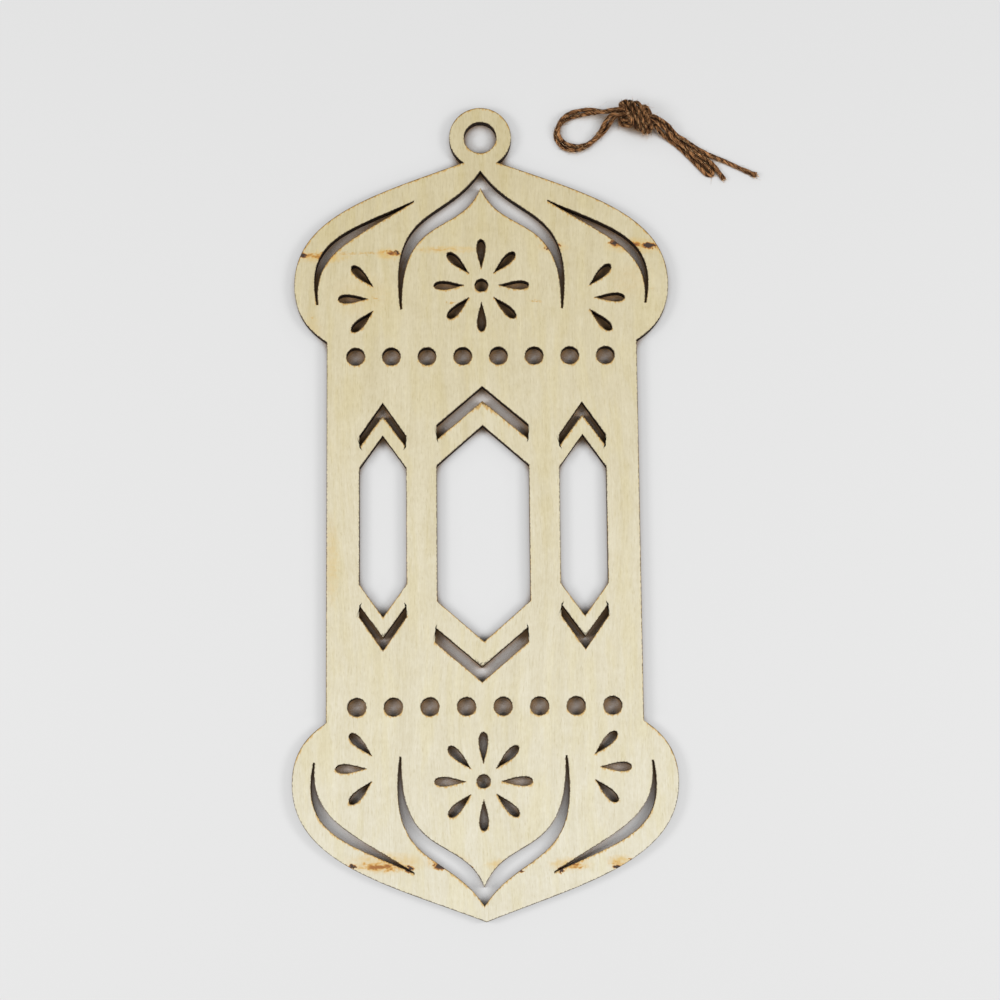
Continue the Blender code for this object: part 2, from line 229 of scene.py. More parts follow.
knot = knot_strands()
lower_loop, upper_loop = loop_strands()
route = smooth_curve(np.vstack([on_slant(LONG_END), knot[0][::-1], lower_loop[::-1], knot[1],
                                on_slant(BIGHT), knot[2][::-1], upper_loop, knot[3],
                                on_slant(SHORT_END)]), ROUTE_STEPS)


# %% Ease the tightest bends, as the twine's own stiffness does
EASE_STEP = 0.1
EASE_WIDTH = 0.55


def eased(line):
    """Each point moves to the weighted middle of its neighbours."""
    line = evenly_spaced(line, EASE_STEP)
    half = int(3 * EASE_WIDTH / EASE_STEP)
    weights = np.exp(-0.5 * (np.arange(-half, half + 1) * EASE_STEP / EASE_WIDTH) ** 2)
    weights /= weights.sum()
    before = 2 * line[0] - line[half:0:-1]
    after = 2 * line[-1] - line[-2:-half - 2:-1]
    padded = np.vstack([before, line, after])
    return np.column_stack([np.convolve(padded[:, axis], weights, mode="valid")
                            for axis in range(3)])


route = eased(route)
route[:, 2] = np.maximum(route[:, 2], TWINE_DIAMETER / 2)

# %% [markdown]
# ## Winding the twine
#
# Jute twine is two plies of coarse fibre, twisted round each other.  Seen across, it is two
# round lobes pressed together, and the pair turns as it goes.  A tube with that section,
# whose rings turn a little more at each step, gives the rope look with real shape: the two
# valleys run along the same rows of points, so they stay sharp.  The map on it runs along
# the twine in millimetres and once round it, so that its colour can follow the fibres.

# %% Wind a two-ply twine along the route
TWIST_PITCH = 5.4
TWINE_SIDES = 12
RING_STEP = 0.18
VALLEY = 0.22
VALLEY_SHARPNESS = 0.8
SWELL = 0.09
SWELL_WAVES = (0.83, 0.29)
END_FLARE = 0.4
FLARE_REACH = 0.9
LYING_CLEARANCE = 0.01
LOOSE_TURNS = ((1.5, 0.23, 0.0), (0.9, 0.51, 1.0))
ROUND_TURN = np.arange(TWINE_SIDES) * 2 * math.pi / TWINE_SIDES


def twine_rings(line):
    """Rings of points round the line, its directions, and each ring's place along it."""
    along = length_along(line)
    ahead = unit(np.gradient(line, axis=0))
    up = carried_frame(ahead, 0, (0.0, 0.0, 1.0))
    side = np.cross(ahead, up)
    lobes = 1.0 - VALLEY * (1.0 - np.abs(np.cos(ROUND_TURN)) ** VALLEY_SHARPNESS)
    quick, slow = SWELL_WAVES
    swell = 1.0 + SWELL * np.sin(along * quick) * np.sin(along * slow + 1.0)
    to_end = np.minimum(along, along[-1] - along)
    swell += END_FLARE * np.exp(-(to_end / FLARE_REACH) ** 2)    # the cut ends open a little
    loose = sum(size * np.sin(along * wave + start) for size, wave, start in LOOSE_TURNS)
    angle = ROUND_TURN[None, :] + (2 * math.pi * along / TWIST_PITCH + loose)[:, None]
    reach = TWINE_DIAMETER / 2 * lobes[None, :] * swell[:, None]
    outward = (np.cos(angle)[..., None] * up[:, None] + np.sin(angle)[..., None] * side[:, None])
    points = line[:, None] + reach[..., None] * outward
    # it flattens a little where it lies
    points[..., 2] = np.maximum(points[..., 2], LYING_CLEARANCE)
    return points, ahead, outward, along


def to_metres(points):
    """Points of the drawing, in millimetres, at their place in the frame, in metres."""
    return np.asarray(points) * MM + (0.0, BODY_MIDDLE, 0.0)


def link_mesh(name, corners, faces):
    """Put a mesh in the scene as a finished piece, with its object at the origin."""
    mesh = bpy.data.meshes.new(name)
    mesh.from_pydata([tuple(corner) for corner in corners], [], faces)
    mesh.update()
    piece = bpy.data.objects.new(name, mesh)
    bpy.context.scene.collection.objects.link(piece)
    return piece


twine_line = evenly_spaced(route, RING_STEP)
rings, twine_ahead, twine_outward, twine_along = twine_rings(twine_line)
ring_count = len(rings)
faces = []
for ring in range(ring_count - 1):
    for k in range(TWINE_SIDES):
        after = (k + 1) % TWINE_SIDES
        faces.append((ring * TWINE_SIDES + k, ring * TWINE_SIDES + after,
                      (ring + 1) * TWINE_SIDES + after, (ring + 1) * TWINE_SIDES + k))
faces.append(tuple(range(TWINE_SIDES))[::-1])
faces.append(tuple(range((ring_count - 1) * TWINE_SIDES, ring_count * TWINE_SIDES)))
twine = link_mesh("jute_twine_wound", to_metres(rings.reshape(-1, 3)), faces)

# %% Map the twine: along it in millimetres, and once round it
twine_map = twine.data.uv_layers.new(name="along_and_round")
places = np.zeros((len(twine.data.loops), 2))
for face in twine.data.polygons[:(ring_count - 1) * TWINE_SIDES]:
    k = face.index % TWINE_SIDES
    ring = face.index // TWINE_SIDES
    for corner, (step, turn) in zip(face.loop_indices, ((0, 0), (0, 1), (1, 1), (1, 0))):
        places[corner] = (twine_along[ring + step], (k + turn) / TWINE_SIDES)
twine_map.data.foreach_set("uv", places.ravel())
print("twine mapped,", round(places[:, 0].max()), "mm along")


# %% How near each point of the twine is to another strand of it
CREASE_REACH = (0.55, 1.1)
OWN_REACH = 2.0    # rings nearer than this along the twine count as its own strand
OWN_RINGS = int(OWN_REACH / RING_STEP)
# where another strand is near, the jute material paints shade
crease = np.zeros((ring_count, TWINE_SIDES))
for ring in range(ring_count):
    others = np.vstack([twine_line[:max(0, ring - OWN_RINGS)], twine_line[ring + OWN_RINGS:]])
    apart = np.linalg.norm(rings[ring][:, None] - others[None], axis=2).min(axis=1)
    near, far = CREASE_REACH
    crease[ring] = np.clip((far - apart) / (far - near), 0.0, 1.0)
twine.data.attributes.new("crease", "FLOAT", "POINT").data.foreach_set("value", crease.ravel())
print(f"{(crease > 0.5).mean():.0%} of the twine's surface is in a crease")


# %% Smooth it and turn its faces outwards
def activate(piece):
    """Make one object the only selected one."""
    if bpy.context.object and bpy.context.object.mode != "OBJECT":
        bpy.ops.object.mode_set(mode="OBJECT")
    bpy.ops.object.select_all(action="DESELECT")
    piece.select_set(True)
    bpy.context.view_layer.objects.active = piece


def edit_whole(piece):
    """Open one mesh for editing, with all of it selected."""
    activate(piece)
    bpy.ops.object.mode_set(mode="EDIT")
    bpy.ops.mesh.select_all(action="SELECT")


def faces_outward(piece):
    edit_whole(piece)
    bpy.ops.mesh.normals_make_consistent(inside=False)
    bpy.ops.object.mode_set(mode="OBJECT")


faces_outward(twine)
bpy.ops.object.shade_smooth()
print("twine:", ring_count, "rings,", len(twine.data.polygons), "faces")

# %% [markdown]
# ## Loose fibres
#
# Jute is never smooth: pale fibres lie along its plies, short ones stand off it, and its cut
# ends open into a little brush.  A particle system could grow them, but thin three-sided
# hairs, made directly, stay real mesh and cost next to nothing.

# %% Grow the fibres
LYING_FIBRES = 900
STANDING_FIBRES = 420
END_FIBRES = 16
FIBRE_SLANT = (0.31, 0.17, 0.93)    # no fibre lies just this way
FIBRE_TAPER = 0.75
FIBRE_ROOT = 0.04
FLOOR_CLEARANCE = 0.02
LYING_ANGLES, LYING_LENGTHS, LYING_RADII = (-3, 9), (0.8, 2.6), (0.028, 0.052)
STANDING_ANGLES, STANDING_RADII = (8, 50), (0.016, 0.028)
SHORTEST_STANDING, LONGEST_STANDING, STANDING_FALL = 0.4, 3.0, 1.4
END_DEPTH, END_PLACES, END_LENGTHS, END_RADII = 0.2, (0.2, 0.9), (0.4, 1.1), (0.03, 0.055)
SPRAY = 0.3
chance = random.Random(7)
fibre_corners, fibre_faces = [], []


def add_fibre(start, direction, bow, length, radius):
    """One tapered hair of four stations and three sides, from the start point."""
    direction = unit(direction)
    side = unit(np.cross(direction, FIBRE_SLANT))
    other = np.cross(direction, side)
    base = len(fibre_corners)
    for station in range(4):
        t = station / 3
        middle = start + direction * length * t + bow * (length * t * t)
        middle[2] = max(middle[2], FLOOR_CLEARANCE + radius)
        thin = radius * (1.0 - FIBRE_TAPER * t)
        for corner in range(3):
            turn = corner * 2 * math.pi / 3
            fibre_corners.append(middle + thin * (math.cos(turn) * side
                                                  + math.sin(turn) * other))
    for station in range(3):
        for corner in range(3):
            a = base + station * 3 + corner
            b = base + station * 3 + (corner + 1) % 3
            fibre_faces.append((a, b, b + 3, a + 3))
    fibre_faces.append((base + 2, base + 1, base))
    fibre_faces.append((base + 9, base + 10, base + 11))


def any_way():
    """A small random step, which bends a fibre or spreads it."""
    return np.array([chance.uniform(-SPRAY, SPRAY) for _ in range(3)])


def fibre_from_side(angles, length, radii):
    """One fibre that leaves the side of the twine at an angle between the two angles."""
    ring, k = chance.randrange(ring_count), chance.randrange(TWINE_SIDES)
    rise = math.radians(chance.uniform(*angles))
    outward = twine_outward[ring, k]
    direction = (chance.choice((-1, 1)) * math.cos(rise) * twine_ahead[ring]
                 + math.sin(rise) * outward)
    add_fibre(rings[ring, k] - FIBRE_ROOT * outward, direction, any_way(), length,
              chance.uniform(*radii))


for _ in range(LYING_FIBRES):
    fibre_from_side(LYING_ANGLES, chance.uniform(*LYING_LENGTHS), LYING_RADII)
for _ in range(STANDING_FIBRES):
    length = min(SHORTEST_STANDING + chance.expovariate(STANDING_FALL), LONGEST_STANDING)
    fibre_from_side(STANDING_ANGLES, length, STANDING_RADII)
for ring, sense in ((0, -1), (ring_count - 1, 1)):
    for _ in range(END_FIBRES):
        k = chance.randrange(TWINE_SIDES)
        out = chance.uniform(*END_PLACES)
        start = twine_line[ring] + (rings[ring, k] - twine_line[ring]) * out
        start -= sense * END_DEPTH * twine_ahead[ring]
        spray = any_way()
        add_fibre(start, sense * twine_ahead[ring] + spray, spray * SPRAY,
                  chance.uniform(*END_LENGTHS), chance.uniform(*END_RADII))
fibres = link_mesh("jute_fibres", to_metres(fibre_corners), fibre_faces)
faces_outward(fibres)
print("fibres:", LYING_FIBRES + STANDING_FIBRES + 2 * END_FIBRES)

for piece in (twine, fibres):
    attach(piece, "twine")
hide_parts("jute_twine")

# %% [markdown]
# ## The cutting drawing
#
# A laser cutter reads one flat drawing: the outline, and every opening inside it.  The same
# drawing is made here, from the same curves as the measured solids but in finer steps, so
# that the round cuts look round.  Only one half of each motif is drawn, and the rest are
# mirror images, as the designer of such a lantern would do.

# %% The drawing's sizes, in millimetres
LOWER_TIP = 86.7
HALF_WIDTH = 42.5
SHOULDER = [(0.0, LOWER_TIP), (21.3, 78.5), (HALF_WIDTH, 73.8), (HALF_WIDTH, 56.4)]
UNDERCUT = [(HALF_WIDTH, 56.4), (HALF_WIDTH, 50.3), (39.85, 46.2), (35.05, 43.15)]
EYE_RADIUS = 7.1
EYE_HOLE_RADIUS = 3.7
EYE_HEIGHT = 91.2
NECK_HEIGHT = 85.2
LOWER_CAP_SHIFT = -0.4
ARCH_OUTER = [(0.0, 83.3), (8.0, 70.9), (21.6, 75.2), (18.4, 50.6)]
ARCH_INNER = [(0.0, 79.2), (4.8, 67.3), (18.6, 74.0), (18.1, 50.7)]
CRESCENT_OUTER = [(15.2, 76.2), (30.9, 69.0), (40.4, 67.3), (37.4, 51.8)]
CRESCENT_INNER = [(15.4, 75.9), (29.3, 67.0), (38.4, 64.4), (37.1, 51.8)]
FLOWER_HEIGHT = 56.2
FLOWER_DOT_RADIUS = 1.5
HALF_FLOWER_OFFSET = 21.75
HALF_FLOWER_HEIGHT = 53.2
PETAL_START, PETAL_END, PETAL_HALF_WIDTH, PETAL_TAPER = 4.0, 10.8, 1.0, 1.5
DOT_ROW_HEIGHT = 39.7
DOT_SPACING = 8.07
DOT_RADIUS = 2.05
DOTS_IN_ROW = 8
UPPER_DOTS_SHIFT = -0.3
SHOULDER_STEPS, UNDERCUT_STEPS, EYE_STEPS, EYE_HOLE_STEPS = 36, 12, 48, 44
ARCH_STEPS, CRESCENT_STEPS, PETAL_STEPS = 36, 24, 14
FLOWER_DOT_STEPS, DOT_STEPS = 24, 32
CENTRE_WINDOW = {"x": 0.0, "y": -0.85, "half_width": 10.35, "shoulder": 15.4, "apex": 24.5,
                 "chevron_inner": (21.25, 30.1), "chevron_outer": (24.6, 33.5),
                 "lower_chevron_shift": -0.5}
SIDE_WINDOW = {"x": 22.45, "y": 0.85, "half_width": 5.25, "shoulder": 13.2, "apex": 20.6,
               "chevron_inner": (17.9, 25.1), "chevron_outer": (20.5, 28.1),
               "lower_chevron_shift": 0.0}


# %% Lines of the drawing
def bezier(points, steps):
    """Points along one cubic Bezier curve, both ends included."""
    p0, p1, p2, p3 = np.array(points, dtype=float)
    t = np.linspace(0.0, 1.0, steps + 1)[:, None]
    u = 1.0 - t
    return u ** 3 * p0 + 3 * u * u * t * p1 + 3 * u * t * t * p2 + t ** 3 * p3


def circle(x, y, radius, steps):
    turn = (np.arange(steps) + 0.5) * 2 * math.pi / steps
    return np.column_stack([x + radius * np.cos(turn), y + radius * np.sin(turn)])


def mirror_x(loop):
    return loop * (-1, 1)


def mirror_y(loop):
    return loop * (1, -1)


# %% The outline with its eye, anticlockwise from the lower tip
def panel_outline():
    quarter = np.vstack([bezier(SHOULDER, SHOULDER_STEPS),
                         bezier(UNDERCUT, UNDERCUT_STEPS)[1:]])
    lower_right = mirror_y(quarter)
    upper_right = quarter[::-1]
    off_eye = np.hypot(upper_right[:, 0], upper_right[:, 1] - EYE_HEIGHT) > EYE_RADIUS
    neck = -math.asin((EYE_HEIGHT - NECK_HEIGHT) / EYE_RADIUS)
    steep = upper_right[:, 0] > EYE_RADIUS * math.cos(neck)
    turn = np.linspace(neck, math.pi - neck, EYE_STEPS + 1)
    ring = np.column_stack([EYE_RADIUS * np.cos(turn), EYE_HEIGHT + EYE_RADIUS * np.sin(turn)])
    right = np.vstack([lower_right, upper_right[off_eye & steep]])
    return np.vstack([right, ring, mirror_x(right[1:])[::-1]])


# %% The cuts of one cap
def petal(x, y, angle):
    """A teardrop that points at the flower's middle."""
    t = np.linspace(0.0, math.pi, PETAL_STEPS + 1)
    along = PETAL_START + (PETAL_END - PETAL_START) * (1 - np.cos(t)) / 2
    width = np.sin(t) * np.sin(t / 2) ** PETAL_TAPER
    width *= PETAL_HALF_WIDTH / width.max()
    loop = np.vstack([np.column_stack([along, width]),
                      np.column_stack([along, -width])[1:-1][::-1]])
    cos_a, sin_a = math.cos(angle), math.sin(angle)
    return loop @ np.array([(cos_a, sin_a), (-sin_a, cos_a)]) + (x, y)


def cap_cuts():
    outer, inner = bezier(ARCH_OUTER, ARCH_STEPS), bezier(ARCH_INNER, ARCH_STEPS)
    arch = np.vstack([outer[::-1], mirror_x(outer)[1:], mirror_x(inner)[::-1], inner[1:]])
    crescent = np.vstack([bezier(CRESCENT_OUTER, CRESCENT_STEPS),
                          bezier(CRESCENT_INNER, CRESCENT_STEPS)[::-1]])
    cuts = [arch, crescent, mirror_x(crescent),
            circle(0.0, FLOWER_HEIGHT, FLOWER_DOT_RADIUS, FLOWER_DOT_STEPS)]
    cuts += [petal(0.0, FLOWER_HEIGHT, index * math.pi / 4) for index in range(8)]
    for side, outward in ((1, 0.0), (-1, math.pi)):
        cuts += [petal(side * HALF_FLOWER_OFFSET, HALF_FLOWER_HEIGHT,
                       outward + turn * math.pi / 4) for turn in (-1, 0, 1)]
    return cuts


# %% The windows, the chevrons over and under them, and the rows of dots
def window_cuts(window):
    x, y, half = window["x"], window["y"], window["half_width"]
    shoulder, apex = window["shoulder"], window["apex"]
    opening = np.array([(half, -shoulder), (half, shoulder), (0.0, apex), (-half, shoulder),
                        (-half, -shoulder), (0.0, -apex)])
    (inner_end, inner_apex), (outer_end, outer_apex) = (window["chevron_inner"],
                                                        window["chevron_outer"])
    chevron = np.array([(half, inner_end), (half, outer_end), (0.0, outer_apex),
                        (-half, outer_end), (-half, inner_end), (0.0, inner_apex)])
    lower_chevron = mirror_y(chevron) + (window["lower_chevron_shift"], 0.0)
    return [loop + (x, y) for loop in (opening, chevron, lower_chevron)]


def dot_row(height, shift):
    middle = (DOTS_IN_ROW - 1) / 2
    return [circle((index - middle) * DOT_SPACING + shift, height, DOT_RADIUS, DOT_STEPS)
            for index in range(DOTS_IN_ROW)]


cuts = [circle(0.0, EYE_HEIGHT, EYE_HOLE_RADIUS, EYE_HOLE_STEPS)]
cuts += cap_cuts()
cuts += [mirror_y(cut) + (LOWER_CAP_SHIFT, 0.0) for cut in cap_cuts()]
cuts += dot_row(DOT_ROW_HEIGHT, UPPER_DOTS_SHIFT) + dot_row(-DOT_ROW_HEIGHT, 0.0)
for window in (CENTRE_WINDOW, SIDE_WINDOW, dict(SIDE_WINDOW, x=-SIDE_WINDOW["x"])):
    cuts += window_cuts(window)
drawing = [panel_outline()] + cuts
print("drawing:", len(drawing), "closed lines,", sum(len(loop) for loop in drawing), "points")


# %% Which side of each line the wood is on, and how near any point is to a line
def loop_sense(loop):
    """1 for an anticlockwise line, -1 for a clockwise one."""
    after = np.roll(loop, -1, axis=0)
    return math.copysign(1.0, (loop[:, 0] * after[:, 1] - after[:, 0] * loop[:, 1]).sum())


# the wood is inside the outline but outside every cut, so the cuts count the other way
senses = [loop_sense(loop) * (1 if index == 0 else -1) for index, loop in enumerate(drawing)]
edge_sense = np.concatenate([np.full(len(loop), sense) for loop, sense in zip(drawing, senses)])
edge_starts = np.vstack(drawing)
edge_runs = np.vstack([np.roll(loop, -1, axis=0) for loop in drawing]) - edge_starts
edge_squares = (edge_runs ** 2).sum(axis=1)


def nearest_edge(point):
    """The nearest edge of the drawing, and the step from the point to it."""
    along = np.clip(((point - edge_starts) * edge_runs).sum(axis=1) / edge_squares, 0.0, 1.0)
    apart = edge_starts + along[:, None] * edge_runs - point
    best = int(np.argmin((apart ** 2).sum(axis=1)))
    return best, apart[best]

# %% [markdown]
# ## Cutting a sheet
#
# In Blender a flat curve object works like the cutting drawing: it holds every closed line
# at once.  A curve can fill itself, but its own filling leaves long slivers that don't share
# their corners, so the curve is made a mesh of plain edges first, and the fill tool makes
# the sheet, with a hole wherever one line lies inside another, and extruding gives it its
# thickness.  The two face sheets also need narrow rows of faces along their edges, which
# later carry the scorch of the laser.  The inset tool folds such rows over each other at
# sharp tips, so each line of the drawing is moved into the wood in steps instead, and less
# where the wood is narrow.


# %% One filled sheet from closed lines
MERGE_DISTANCE = 0.002 * MM


def flat_sheet(name, height, lines):
    """Closed lines as one flat filled mesh at a height above the floor, in metres."""
    bpy.ops.object.select_all(action="DESELECT")
    bpy.ops.curve.primitive_bezier_circle_add(location=(0.0, 0.0, 0.0))
    sheet = bpy.context.object
    sheet.name = sheet.data.name = name
    sheet.data.dimensions = "2D"
    sheet.data.fill_mode = "NONE"
    sheet.data.splines.clear()
    for loop in lines:
        line = sheet.data.splines.new("POLY")
        line.points.add(len(loop) - 1)
        for point, (x, y) in zip(line.points, loop):
            point.co = (x * MM, y * MM + BODY_MIDDLE, 0.0, 1.0)
        line.use_cyclic_u = True
    bpy.ops.object.convert(target="MESH")
    sheet = bpy.context.object
    edit_whole(sheet)
    bpy.ops.mesh.remove_doubles(threshold=MERGE_DISTANCE)
    bpy.ops.mesh.fill(use_beauty=True)
    bpy.ops.transform.translate(value=(0.0, 0.0, height))
    bpy.ops.object.mode_set(mode="OBJECT")
    return sheet


# %% Rows of faces along every edge
SCORCH_ROWS = (0.18, 0.52, 0.97)
DEPTH_TRIALS = 10
DEEPEST_TRIAL = 1.15
OWN_EDGE_SHARE = 0.96
ROOM_USED = 0.85


def rows_into_wood(loop, sense):
    """The line itself, and the same line moved into the wood in steps."""
    ahead = unit(np.roll(loop, -1, axis=0) - np.roll(loop, 1, axis=0))
    into_wood = sense * np.column_stack([-ahead[:, 1], ahead[:, 0]])
    room = np.zeros(len(loop))
    for index, (point, direction) in enumerate(zip(loop, into_wood)):
        depths = np.linspace(0.0, DEEPEST_TRIAL * SCORCH_ROWS[-1], DEPTH_TRIALS + 1)
        for depth in depths[1:]:
            apart = nearest_edge(point + depth * direction)[1]
            if np.hypot(*apart) < OWN_EDGE_SHARE * depth:
                break    # another edge is nearer than the one that the step started from
            room[index] = depth
    share = np.minimum(1.0, ROOM_USED * room / SCORCH_ROWS[-1])[:, None]
    return [loop] + [loop + width * share * into_wood for width in SCORCH_ROWS]


def join_rows(sheet, height, all_rows):
    """Add the rows of faces round a sheet that is filled up to the innermost row."""
    corners, faces = [], []
    for rows in all_rows:
        count = len(rows[0])
        for r in range(len(rows) - 1):
            base = len(corners) + r * count
            for i in range(count):
                after = (i + 1) % count
                faces.append((base + i, base + after, base + count + after, base + count + i))
        for row in rows:
            corners += [(x * MM, y * MM + BODY_MIDDLE, height) for x, y in row]
    rim = link_mesh("rim", corners, faces)
    activate(sheet)
    rim.select_set(True)
    bpy.ops.object.join()
    edit_whole(sheet)
    bpy.ops.mesh.remove_doubles(threshold=MERGE_DISTANCE)
    bpy.ops.object.mode_set(mode="OBJECT")


# %% The thickness of a sheet
def add_thickness(sheet, rise):
    """Extrude the flat sheet up, or down where rise is negative, and turn its faces outwards."""
    edit_whole(sheet)
    bpy.ops.mesh.extrude_region_move(TRANSFORM_OT_translate={"value": (0.0, 0.0, rise)})
    faces_outward(sheet)


# %% [markdown]
# ## Three veneers
#
# The panel is three-ply: two thin face veneers with their grain along the lantern, and one
# core veneer across it.  Each is its own piece, with a glue line of two hundredths of a
# millimetre between them, which is how the layers show on the cut edge.  The two face
# veneers are drawn on the side that shows, with its rows round each cut, and extruded
# towards the core, because the scorch marks of the laser need those rows.

# %% Cut the three veneers
GLUE_LINE = 0.02 * MM
PLY = (FACE_HEIGHT - 2 * GLUE_LINE) / 3
veneers = {}
face_rows = [rows_into_wood(loop, sense) for loop, sense in zip(drawing, senses)]
innermost = [rows[-1] for rows in face_rows]
for layer, name in enumerate(("back_veneer", "core_veneer", "front_veneer")):
    low = layer * (PLY + GLUE_LINE)
    drawn_at = low + PLY if name == "front_veneer" else low
    if name == "core_veneer":
        sheet = flat_sheet(name + "_cut", drawn_at, drawing)
    else:
        sheet = flat_sheet(name + "_cut", drawn_at, innermost)
        join_rows(sheet, drawn_at, face_rows)
    add_thickness(sheet, -PLY if name == "front_veneer" else PLY)
    veneers[name] = sheet
    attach(sheet, "panel")
    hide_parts(name)
    print(sheet.name, len(sheet.data.polygons), "faces, from", round(low / MM, 2), "to",
          round((low + PLY) / MM, 2), "mm")

# %% [markdown]
# ## Where the laser scorched the wood
#
# Smoke marks the wood right beside each cut, and it marks most where it drifts over the
# edge.  Two numbers are kept on every point of a sheet: how near the closest cut is, and how
# far that cut's edge faces up the lantern, where the smoke drifted.

# %% Nearness of the cuts, and the side that the smoke drifted to
SCORCH_REACH = SCORCH_ROWS[-1]
ON_THE_EDGE = 0.02


def store_scorch(sheet):
    place = np.array([corner.co[:2] for corner in sheet.data.vertices])
    place = (place - (0.0, BODY_MIDDLE)) / MM
    near, drift = np.zeros(len(place)), np.zeros(len(place))
    for index, point in enumerate(place):
        best, apart = nearest_edge(point)
        distance = np.hypot(*apart)
        near[index] = max(0.0, 1.0 - distance / SCORCH_REACH)
        if distance > ON_THE_EDGE:
            drift[index] = apart[1] / distance
        else:
            # on the edge itself: square to it, away from the wood
            drift[index] = -edge_sense[best] * edge_runs[best, 0] / math.sqrt(edge_squares[best])
    for name, values in (("edge_near", near), ("edge_drift", drift)):
        attribute = sheet.data.attributes.new(name, "FLOAT", "POINT")
        attribute.data.foreach_set("value", values)


for sheet in veneers.values():
    store_scorch(sheet)
print("scorch stored on", len(veneers), "sheets")

# %% [markdown]
# ## Making materials
#
# Every material here is a small network of nodes.  These helpers add a node, do a sum, and
# blend two colours.  Colours are written as they look on a screen, from 0 to 255, and turned
# into the linear values that the shader needs.


# %% Helpers for nodes
def colour(red, green, blue):
    linear = [((value / 255 + 0.055) / 1.055) ** 2.4 for value in (red, green, blue)]
    return (*linear, 1.0)


def feed(tree, node, inputs):
    """Give a node its inputs, as values or as other nodes' outputs."""
    for key, value in inputs.items():
        if isinstance(value, bpy.types.NodeSocket):
            tree.links.new(value, node.inputs[key])
        else:
            node.inputs[key].default_value = value


def add_node(tree, kind, inputs=None, **settings):
    """Add a node with its settings and its inputs."""
    node = tree.nodes.new("ShaderNode" + kind)
    for name, value in settings.items():
        setattr(node, name, value)
    feed(tree, node, inputs or {})
    return node


def sum_node(tree, operation, first, second=0.0, third=0.0, clamp=False):
    return add_node(tree, "Math", {0: first, 1: second, 2: third}, operation=operation,
                    use_clamp=clamp).outputs[0]


def scaled(tree, value, by, plus=0.0, clamp=False):
    """The value times one number or node, plus another."""
    return sum_node(tree, "MULTIPLY_ADD", value, by, plus, clamp)


def blend(tree, factor, first, second, kind="MIX"):
    """Blend two colours by a factor."""
    return add_node(tree, "Mix", {0: factor, 6: first, 7: second}, data_type="RGBA",
                    blend_type=kind).outputs[2]


def ramp(tree, value, low, high, smooth=True):
    """0 below the low value, 1 above the high one."""
    return add_node(tree, "MapRange", {"Value": value, "From Min": low, "From Max": high},
                    interpolation_type="SMOOTHSTEP" if smooth else "LINEAR").outputs[0]


def vector_sum(tree, operation, first, second):
    return add_node(tree, "VectorMath", {0: first, 1: second}, operation=operation).outputs[0]


def stretched_noise(tree, place, scale, detail=2.0, roughness=0.5):
    """Noise whose grains are stretched by different scales along x, y and z."""
    moved = vector_sum(tree, "MULTIPLY", place, scale)
    return add_node(tree, "TexNoise", {"Vector": moved, "Scale": 1.0, "Detail": detail,
                                       "Roughness": roughness}).outputs[0]


def bump(tree, height, strength, depth):
    """Relief of a depth in millimetres, as a normal."""
    return add_node(tree, "Bump", {"Height": height, "Strength": strength,
                                   "Distance": depth * MM}).outputs[0]


def new_material(name):
    material = bpy.data.materials.new(name)
    material.use_nodes = True
    tree = material.node_tree
    return material, tree, tree.nodes["Principled BSDF"]


def place_in_mm(tree):
    """Object coordinates in millimetres."""
    place = add_node(tree, "TexCoord").outputs["Object"]
    return add_node(tree, "VectorMath", {0: place, 3: 1.0 / MM}, operation="SCALE").outputs[0]


# %% Helpers for node groups
def new_group(name, vectors, values, masks):
    """An empty node group that takes vectors and values in, and gives masks out."""
    group = bpy.data.node_groups.new(name, "ShaderNodeTree")
    for sockets, way, kind in ((vectors, "INPUT", "Vector"), (values, "INPUT", "Float"),
                               (masks, "OUTPUT", "Float")):
        for socket in sockets:
            group.interface.new_socket(name=socket, in_out=way, socket_type="NodeSocket" + kind)
    return group


def give(group, masks):
    """Send the finished masks to the group's outputs."""
    feed(group, group.nodes.new("NodeGroupOutput"), masks)


def add_group(tree, group, inputs):
    """Place a node group in a material, and return its outputs."""
    node = tree.nodes.new("ShaderNodeGroup")
    node.node_tree = group
    feed(tree, node, inputs)
    return node.outputs


# %% [markdown]
# ## Wood grain
#
# The face veneer is a pale, fine-grained wood.  It has broad bands that hardly show, thin
# fibres along the lantern, small cells, short darker pores, and a cloudy shimmer over it
# all.  They are noises that differ only in how far they are stretched, so they make one
# node group that all the veneers share.

# %% The grain group
# grains per millimetre across, along and through the sheet, then detail and roughness
WANDER = ((0.03, 0.012, 0.03), 1.0)
WANDER_WIDTH = 9.0
GRAIN_NOISES = {"cloud": ((0.22, 0.30, 0.22), 2.0), "bands": ((0.38, 0.015, 0.38), 3.0, 0.6),
                "strands": ((3.2, 0.20, 3.2), 3.0, 0.65), "cells": ((1.7, 0.85, 1.7), 3.0, 0.6),
                "pores": ((6.5, 0.55, 6.5), 1.0), "yellow": ((0.30, 0.055, 0.30), 4.0, 0.6)}
TONE_SHARES = {"cloud": 0.16, "bands": 0.28, "strands": 0.30, "cells": 0.26, "pores": -0.16}
TONE_RANGE, YELLOW_RANGE, PORE_RANGE = (0.32, 0.65), (0.42, 0.66), (0.60, 0.74)
PORE_DEPTH = 0.6
grain = new_group("veneer_grain", ["Place"], [], ["Tone", "Yellow", "Relief"])
start = grain.nodes.new("NodeGroupInput").outputs["Place"]
wander = scaled(grain, stretched_noise(grain, start, *WANDER), WANDER_WIDTH)
moved = vector_sum(grain, "ADD", start, add_node(grain, "CombineXYZ", {"X": wander}).outputs[0])
noises = {name: stretched_noise(grain, moved, *settings)
          for name, settings in GRAIN_NOISES.items()}
noises["pores"] = ramp(grain, noises["pores"], *PORE_RANGE)
tone = 0.0
for name, share in TONE_SHARES.items():
    tone = scaled(grain, noises[name], share, tone)
